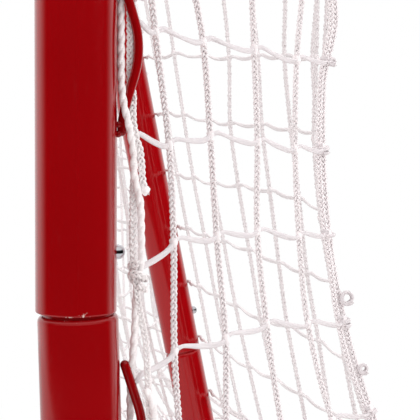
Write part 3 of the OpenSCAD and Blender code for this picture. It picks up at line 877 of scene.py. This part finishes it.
# %% Cords on the posts
UPPER_PEAK = 0.5805  # lowest peak of the upper rod
LOWER_PEAK = 0.400  # highest peak of the lower rod


def wound_path(low, high, peak, near, far, aside):
    """Part of a cord up a post: near the post at a peak, far at a weld, and aside in between."""
    count = round((high - low) / 0.0055)
    path = []
    for i in range(count + 1):
        z = mix(low, high, i / count)
        angle = 2 * pi * (z - peak) / ROD_WAVE
        lean = post_back(z) if z < LOWER_PEAK else 0.0
        behind = mix(near, far, (1 - cos(angle)) / 2) + lean
        path.append(Vector((POST_X + aside * sin(angle), behind, z)))
    return path


def hand_places(knots):
    return [Vector((POST_X + out * 0.001, back * 0.001, z)) for back, z, out in knots]


# Millimetres behind the post's axis, height in metres, millimetres outwards: the braided edge
# strand, the smooth cord, the braid's spare end and the cord's tail.
EDGE_KNOTS = [
    (34.8, 0.405, 2.6), (34.4, 0.4145, 3.0), (33.6, 0.4263, 2.4), (33.4, 0.4334, 1.8),
    (32.8, 0.4428, 1.2), (31.0, 0.4523, 1.2), (29.4, 0.46, 1.8), (28.4, 0.467, 2.2),
    (27.4, 0.475, 1.6), (26.7, 0.483, 1.0), (26.4, 0.49, 0.8), (26.4, 0.4972, 0.8),
    (26.4, 0.509, 0.8), (26.6, 0.5161, -0.8), (27.2, 0.5232, -2.2), (27.4, 0.5326, -2.6),
    (26.6, 0.542, -3.2), (26.2, 0.5492, -3.6), (26.0, 0.556, -4.4), (25.4, 0.562, -4.4),
    (25.0, 0.57, -3.4), (25.0, 0.5822, -1.0), (25.0, 0.594, -2.6), (25.0, 0.6035, -3.6)]
CORD_KNOTS = [
    (25.8, 0.405, -4.2), (25.7, 0.4145, -4.0), (26.0, 0.4263, -2.0), (26.4, 0.4334, 0.0),
    (27.1, 0.4428, 1.2), (27.7, 0.4523, 1.4), (27.9, 0.46, 0.8), (28.6, 0.469, -0.5),
    (30.0, 0.4783, 0.0), (30.6, 0.4854, 0.6), (30.3, 0.4972, 0.8), (30.0, 0.507, 1.2),
    (28.6, 0.515, 2.4), (27.3, 0.52, 2.8), (26.8, 0.5232, 2.8), (26.5, 0.5326, 2.6),
    (25.2, 0.5397, 4.2), (24.3, 0.5444, 5.0), (23.2, 0.5492, 5.2), (22.0, 0.5539, 4.4),
    (21.4, 0.5586, 2.6), (21.0, 0.565, 0.8), (20.8, 0.5751, 0.0), (20.8, 0.588, 0.0),
    (20.8, 0.6, -1.8), (20.8, 0.612, -3.9), (20.8, 0.626, -3.9), (20.8, 0.64, -1.2)]
SPARE_KNOTS = [
    (25.6, 0.569, -4.6), (26.4, 0.561, -4.4), (26.6, 0.5562, -2.6), (26.2, 0.5515, 0.4),
    (26.4, 0.5468, 1.6), (27.0, 0.542, 2.2), (28.2, 0.5373, 2.6), (29.7, 0.5326, 2.6),
    (30.5, 0.5232, 2.4), (31.0, 0.518, 2.2), (32.2, 0.5145, 2.0)]
TAIL_KNOTS = [
    (32.5, 0.421, 4.4), (34.8, 0.417, 5.4), (36.4, 0.411, 5.0), (36.8, 0.404, 4.6),
    (36.6, 0.398, 4.2)]


def coil(centre_back, low, high, radius, turns):
    """A cord wrapped aslant round the others."""
    steps = round(14 * turns)
    path = []
    for i in range(steps + 1):
        a, z = 2 * pi * turns * i / steps, mix(low, high, i / steps)
        path.append(Vector((POST_X + 0.0012 + radius * 0.8 * cos(a),
                            centre_back + radius * sin(a), z + 0.0028 * cos(a + 0.9))))
    return path


def frayed_end(tip, way, seed):
    """Loose fibres fanning out of a cut cord."""
    rng = random.Random(seed)
    fan = []
    for _ in range(16):
        spread = Vector([rng.uniform(-1, 1) for _ in range(3)]) * 0.0008
        reach = way * rng.uniform(0.0008, 0.0020)
        middle = tip + reach * 0.5 + spread * 0.5
        fan.append([tip - way * 0.0008, middle, tip + reach + spread * 1.6])
    return fan


edge = (wound_path(0.070, 0.3975, LOWER_PEAK, 0.0330, EDGE_CORD_Y, -0.0042)
        + hand_places(EDGE_KNOTS)
        + wound_path(0.609, 0.800, UPPER_PEAK, 0.0249, 0.0266, -0.0042))
cord = (wound_path(0.190, 0.3975, LOWER_PEAK, 0.0209, 0.0345, 0.0050) + hand_places(CORD_KNOTS)
        + wound_path(0.655, 0.790, UPPER_PEAK, 0.0209, 0.0345, 0.0050))
post_braids = [through(path, 0.002) for path in (
    edge, hand_places(SPARE_KNOTS), coil(0.0290, 0.4690, 0.4785, 0.0034, 2))]
post_cords = [through(path, 0.002) for path in (cord, hand_places(TAIL_KNOTS))]
stub = post_braids[1][-1]
post_frays = (frayed_end(stub, Vector((0.1, 0.6, -0.75)), 1)
              + frayed_end(post_cords[1][-1], Vector((0.1, 0.45, -0.9)), 2))
print("post cords", [len(path) for path in post_cords])

# %% Make the lacing of the posts
CORD_SIZES = {"Twist Swing": 0.0005, "Twist Pitch": 0.012, "Twist Ply": 0.0014,
              "Twist Step": 0.0014, "Twist Sides": 8, "Twist Shade": 0.0}
FRAY_SIZES = {"Twist Swing": 0.00004, "Twist Pitch": 0.004, "Twist Ply": 0.00016,
              "Twist Step": 0.0008, "Twist Sides": 4, "Twist Shade": 0.0}


def joined(name, pieces):
    """Several new pieces as one object."""
    with bpy.context.temp_override(active_object=pieces[0], object=pieces[0],
                                   selected_editable_objects=pieces, selected_objects=pieces):
        bpy.ops.object.join()
    pieces[0].name = pieces[0].data.name = name
    return pieces[0]


for name, _, change in SIDES:
    cords = strand_piece("cords", change(post_braids), change(post_cords), change([[stub]])[0],
                         lacing_material, **CORD_SIZES)
    frays = strand_piece("frays", (), change(post_frays), (), lacing_material, **FRAY_SIZES)
    lacing = joined(f"lacing_post_{name}", [cords, frays])
    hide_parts(f"lacing_cord_{name}")
    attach(lacing, "frame")

# %% [markdown]
# ## Lacing on the crossbar and the base
# Along the crossbar, the base rails and the rear rail one cord lashes the net's edge to the rod.
# It makes one turn in each wave: inside the rod at the peak and round the net's edge at the weld.

# %% Cords along straight tubes
LASHING_OUT = 0.0283  # the cord's mean distance from the tube's axis
LASHING_IN, LASHING_ASIDE = 0.0066, 0.0048


def lashing(start, along, out, first_peak, length):
    """A cord that winds along a rod, from a point on the tube's axis."""
    side = along.cross(out)
    path = []
    for i in range(int(length / 0.004) + 1):
        s = i * 0.004
        angle = 2 * pi * (s - first_peak) / ROD_WAVE
        path.append(start + along * s + out * (LASHING_OUT - LASHING_IN * cos(angle))
                    + side * LASHING_ASIDE * sin(angle))
    return through(path, 0.002)


X, Y, Z = Vector((1, 0, 0)), Vector((0, 1, 0)), Vector((0, 0, 1))
ROD_MIDDLE = 0.022  # where the rods of a crosswise tube start, from its middle
CROSS_L = ROD_MIDDLE + 5 * ROD_WAVE


def cross_lacing(y, z, out, start):
    """Two cords along a crosswise tube, from start out to the right and to the left."""
    return [lashing(Vector((s * start, y, z)), X * s, out, ROD_MIDDLE - start + ROD_WAVE / 2,
                    CROSS_L - start) for s in (1, -1)]


top_lacing = cross_lacing(0, TOP_Z, Y, 0.008)
rear_lacing = cross_lacing(REAR_Y, BASE_Z, Z, 0.026)
base_start = Vector((POST_X, FOOT_Y + CORNER_R, BASE_Z))
base_lacing = [lashing(base_start, Y, Z, ROD_WAVE / 2, 4 * ROD_WAVE)]
for name, node, paths in (("lacing_crossbar", "lacing_cord_top", top_lacing),
                          ("lacing_rear", "lacing_cord_rear", rear_lacing),
                          ("lacing_base_right", "lacing_cord_base_right", base_lacing),
                          ("lacing_base_left", "lacing_cord_base_left", mirrored(base_lacing))):
    lacing = strand_piece(name, (), paths, (), lacing_material, **CORD_SIZES)
    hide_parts(node)
    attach(lacing, "frame")

# %% [markdown]
# ## Weld beads
# A rod is welded to its tube at every valley of its wave, with a bead on each side, under the same
# coat. A bead is two small balls in a row, each stretched a little at random, which Geometry Nodes
# set on points.

# %% Weld beads
def bead_tree():
    g, keys, given = start_tree("weld beads", {
        "Object": {"Places": None}, "Float": {"Bead Size": 0.0014}, "Int": {"Seed": 2},
        "Material": {"Material": None}})
    end_tree(g, lumps_on(g, given, given["Places"], given["Bead Size"], 0.0,
                         Scale=((0.85, 0.85, 0.85), (1.2, 1.2, 1.2))), given["Material"])
    return g.tree, keys


BEAD_OUT, BEAD_ASIDE, BEAD_SLIP = 0.0196, 0.0017, 0.0022


def welds(start, along, out, first, count):
    """Bead places at each of a rod's welds: two on each side of the rod."""
    side = along.cross(out)
    return [start + along * (first + ROD_WAVE * i + slip) + out * BEAD_OUT + side * BEAD_ASIDE * way
            for i in range(count) for way in (1, -1) for slip in (-BEAD_SLIP, BEAD_SLIP)]


UPPER_WELD = 0.543  # height of the upper rod's lowest weld
LOWER_WELD = 0.0955  # from the post's joint down to the lower rod's highest weld
bead_places = []
for s in (1, -1):
    bead_places += welds(Vector((s * POST_X, 0, 0)), Z, Y, UPPER_WELD, 4)
    bead_places += welds(Vector((s * POST_X, 0.00085, POST_JOINT_Z)),
                         Vector((0, sin(LEAN), -cos(LEAN))),
                         Vector((0, cos(LEAN), sin(LEAN))), LOWER_WELD, 3)
    bead_places += welds(Vector((s * POST_X, FOOT_Y + CORNER_R, BASE_Z)), Y, Z, 0.0, 5)
    bead_places += welds(Vector((0, 0, TOP_Z)), X * s, Y, ROD_MIDDLE, 6)
    bead_places += welds(Vector((0, REAR_Y, BASE_Z)), X * s, Z, ROD_MIDDLE, 6)

beads = grown("weld_beads", *bead_tree(), {"Places": point_object("bead places", bead_places)},
              Material=coat_material)
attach(beads, "frame")

# %% [markdown]
# ## The net's area
# The frame's checks want to know each sheet's cut size and what holds it. A net is mostly holes,
# so its area is that of the twine.

print("a net's area is that of its twine")

# %% [markdown]
# ## Floor, lamps and world
# The studio is plain: a pale floor, soft lamps in front, behind, to the left and above. The
# backdrop is white to the camera. What the glossy coat mirrors is white beyond the goal and dark on
# the camera's side, so each tube has a deep red middle and pale rims. To the coat the floor is a
# pale disc.

# %% Floor
WHITE = (1, 1, 1, 1)
SHADED_FLOOR = (0.6, 1.2)  # where the floor that the camera sees fades to white
MIRRORED_FLOOR = (1.68, 1.76)  # where the disc ends


def ray(g, kind):
    return g.make("ShaderNodeLightPath", {}, {}, f"Is {kind} Ray")


def floor_material():
    material, g, place = new_material("floor")
    grain = g.noise(place, 30.0, 2.0)
    distance = place.vector("LENGTH", output=1)
    pale = g.mix(grain, colour(232, 231, 230), colour(236, 235, 234))
    matt = g.make("ShaderNodeBsdfDiffuse", {}, {"Color": pale})
    white = g.make("ShaderNodeEmission", {}, {"Color": WHITE, "Strength": 1.0})
    whiter = ray(g, "Camera") * (0.62 + distance.fade(*SHADED_FLOOR) * 0.38)
    ground = g.make("ShaderNodeMixShader", {}, {0: whiter, 1: matt, 2: white})
    disc = g.make("ShaderNodeEmission", {}, {"Color": WHITE, "Strength": 0.7})
    nothing = g.make("ShaderNodeBsdfTransparent", {}, {})
    disc = g.make("ShaderNodeMixShader", {},
                  {0: distance.fade(*MIRRORED_FLOOR), 1: disc, 2: nothing})
    finish_material(g, g.make("ShaderNodeMixShader", {},
                              {0: ray(g, "Glossy"), 1: ground, 2: disc}))
    return material


bpy.ops.mesh.primitive_plane_add(size=14, location=(0, 0, -0.0005))
floor = bpy.context.active_object
floor.name = "floor"
floor.data.materials.append(floor_material())
print("floor", tuple(floor.dimensions))

# %% Lamps and world
LAMPS_AIM = Vector((0.3, 0.15, 0.5))
AMBIENT = 0.64  # what the world lights the goal with; the camera sees 1


def lamp(name, place, size, power):
    data = bpy.data.lights.new(name, "AREA")
    data.shape, data.size, data.energy = "SQUARE", size, power
    light = bpy.data.objects.new(name, data)
    bpy.context.scene.collection.objects.link(light)
    light.location = place
    light.rotation_euler = (LAMPS_AIM - Vector(place)).to_track_quat("-Z", "Y").to_euler()
    light.visible_glossy = False


for name, place, size, power in (("key lamp", (1.8, -2.2, 1.9), 1.6, 33),
                                 ("fill lamp", (1.6, 2.6, 1.6), 1.8, 40),
                                 ("top lamp", (0.2, 0.2, 3.0), 2.0, 30),
                                 ("back lamp", (-2.4, 0.6, 1.8), 1.8, 34)):
    lamp(name, place, size, power)


def studio_world():
    world = bpy.data.worlds.new("studio")
    bpy.context.scene.world = world
    world.use_nodes = True
    world.node_tree.nodes.clear()
    g = Graph(world.node_tree)
    x, y, z = g.make("ShaderNodeTexCoord", {}, {}, "Generated").parts()
    above, below = z.fade(0.30, 0.62), z.fade(-0.34, -0.75)
    mirrored_light = 0.006 + x.fade(0.0, -0.55).most(above * 0.8).most(below * 0.35) * 0.95
    strength = AMBIENT + ray(g, "Camera") * (1 - AMBIENT)
    strength = strength * (1 - ray(g, "Glossy")) + mirrored_light * ray(g, "Glossy")
    back = g.make("ShaderNodeBackground", {}, {"Color": WHITE, "Strength": strength})
    g.make("ShaderNodeOutputWorld", {}, {"Surface": back})


studio_world()
bpy.context.scene.view_settings.view_transform = "Standard"
print("lit")
